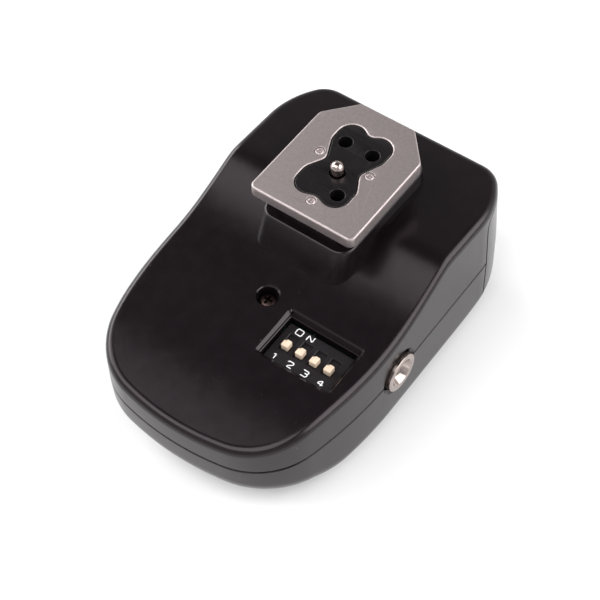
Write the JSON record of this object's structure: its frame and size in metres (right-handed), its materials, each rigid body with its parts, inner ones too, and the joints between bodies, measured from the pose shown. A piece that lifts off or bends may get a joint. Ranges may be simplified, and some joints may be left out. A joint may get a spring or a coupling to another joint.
{
  "type": "wireless flash trigger",
  "caption": "Palm-sized radio flash trigger with an accessory-shoe foot, channel switches, sync jack, test button and sliding battery door.",
  "frame": {"origin": "on the contact pin's axis, in the flat land of the domed side that the casing rests on", "axes": "+Z towards the foot plate's face, +Y towards the battery end, +X towards the side with the sync jack"},
  "size_m": [0.0418, 0.0624, 0.033],
  "materials": {
    "casing_black": "satin, finely textured moulding",
    "button_black": "satin",
    "insert_black": "smooth moulding",
    "foot_metal": "satin, fine grain, bright edges",
    "nickel": "polished nickel",
    "screw_black": "black oxide",
    "spring_steel": "drawn wire",
    "board_green": "solder resist",
    "dip_black": "satin",
    "knob_ivory": "satin",
    "chip_black": "matt",
    "copper": "enamelled wire",
    "led_red": "clear tinted epoxy",
    "cell_label": "printed film over a can",
    "lead_red": "wire insulation",
    "lead_black": "wire insulation"
  },
  "bodies": {
    "casing": {"foot_side_shell": "casing_black", "button_side_shell": "casing_black", "foot_plate": "foot_metal", "contact_block": "insert_black", "centre_pin_spring": "spring_steel", "centre_pin_terminal": "nickel", "foot_rivet_left": "foot_metal", "foot_rivet_right": "foot_metal", "foot_rivet_front": "foot_metal", "case_screw": "screw_black", "board_screw_left": "screw_black", "board_screw_right": "screw_black", "main_board": "board_green", "sync_jack_body": "insert_black", "sync_jack_nose": "nickel", "dip_switch_body": "dip_black", "encoder_chip": "chip_black", "radio_module_board": "board_green", "radio_resonator": "spring_steel", "antenna_coil": "copper", "tact_switch_body": "chip_black", "status_led": "led_red", "battery_cell": "cell_label", "battery_spring": "spring_steel", "cap_contact_plate": "nickel", "spring_contact_plate": "nickel", "positive_lead": "lead_red", "negative_lead": "lead_black", "pin_lead": "lead_red", "ground_lead": "lead_black"},
    "centre_pin": {"centre_pin": "nickel"},
    "test_button": {"test_button": "button_black"},
    "tact_plunger": {"tact_switch_plunger": "chip_black"},
    "battery_door": {"battery_door": "casing_black"},
    "dip_slider_1": {"dip_slider_1": "knob_ivory"},
    "dip_slider_2": {"dip_slider_2": "knob_ivory"},
    "dip_slider_3": {"dip_slider_3": "knob_ivory"},
    "dip_slider_4": {"dip_slider_4": "knob_ivory"}
  },
  "joints": [
    {"name": "centre_pin_press", "type": "slide", "parent": "casing", "child": "centre_pin", "axis": [0, 0, -1], "range_m": [0, 0.0009], "stiffness_N_per_m": 900, "springref_m": -0.0006, "deforming": ["centre_pin_spring"]},
    {"name": "test_button_press", "type": "slide", "parent": "casing", "child": "test_button", "axis": [0, 0, 1], "range_m": [0, 0.0006], "stiffness_N_per_m": 900, "springref_m": -0.0004},
    {"name": "tact_plunger_press", "type": "slide", "parent": "casing", "child": "tact_plunger", "axis": [0, 0, 1], "range_m": [0, 0.0003]},
    {"name": "dip_slider_1_switch", "type": "slide", "parent": "casing", "child": "dip_slider_1", "axis": [0, 1, 0], "range_m": [0, 0.0012]},
    {"name": "dip_slider_2_switch", "type": "slide", "parent": "casing", "child": "dip_slider_2", "axis": [0, 1, 0], "range_m": [0, 0.0012]},
    {"name": "dip_slider_3_switch", "type": "slide", "parent": "casing", "child": "dip_slider_3", "axis": [0, 1, 0], "range_m": [0, 0.0012]},
    {"name": "dip_slider_4_switch", "type": "slide", "parent": "casing", "child": "dip_slider_4", "axis": [0, 1, 0], "range_m": [0, 0.0012]},
    {"name": "battery_door_slide", "type": "slide", "parent": "casing", "child": "battery_door", "axis": [0, 1, 0], "range_m": [0, 0.03]}
  ],
  "couplings": [
    {"joint": "tact_plunger_press", "follows": "test_button_press", "ratio": 0.5}
  ]
}
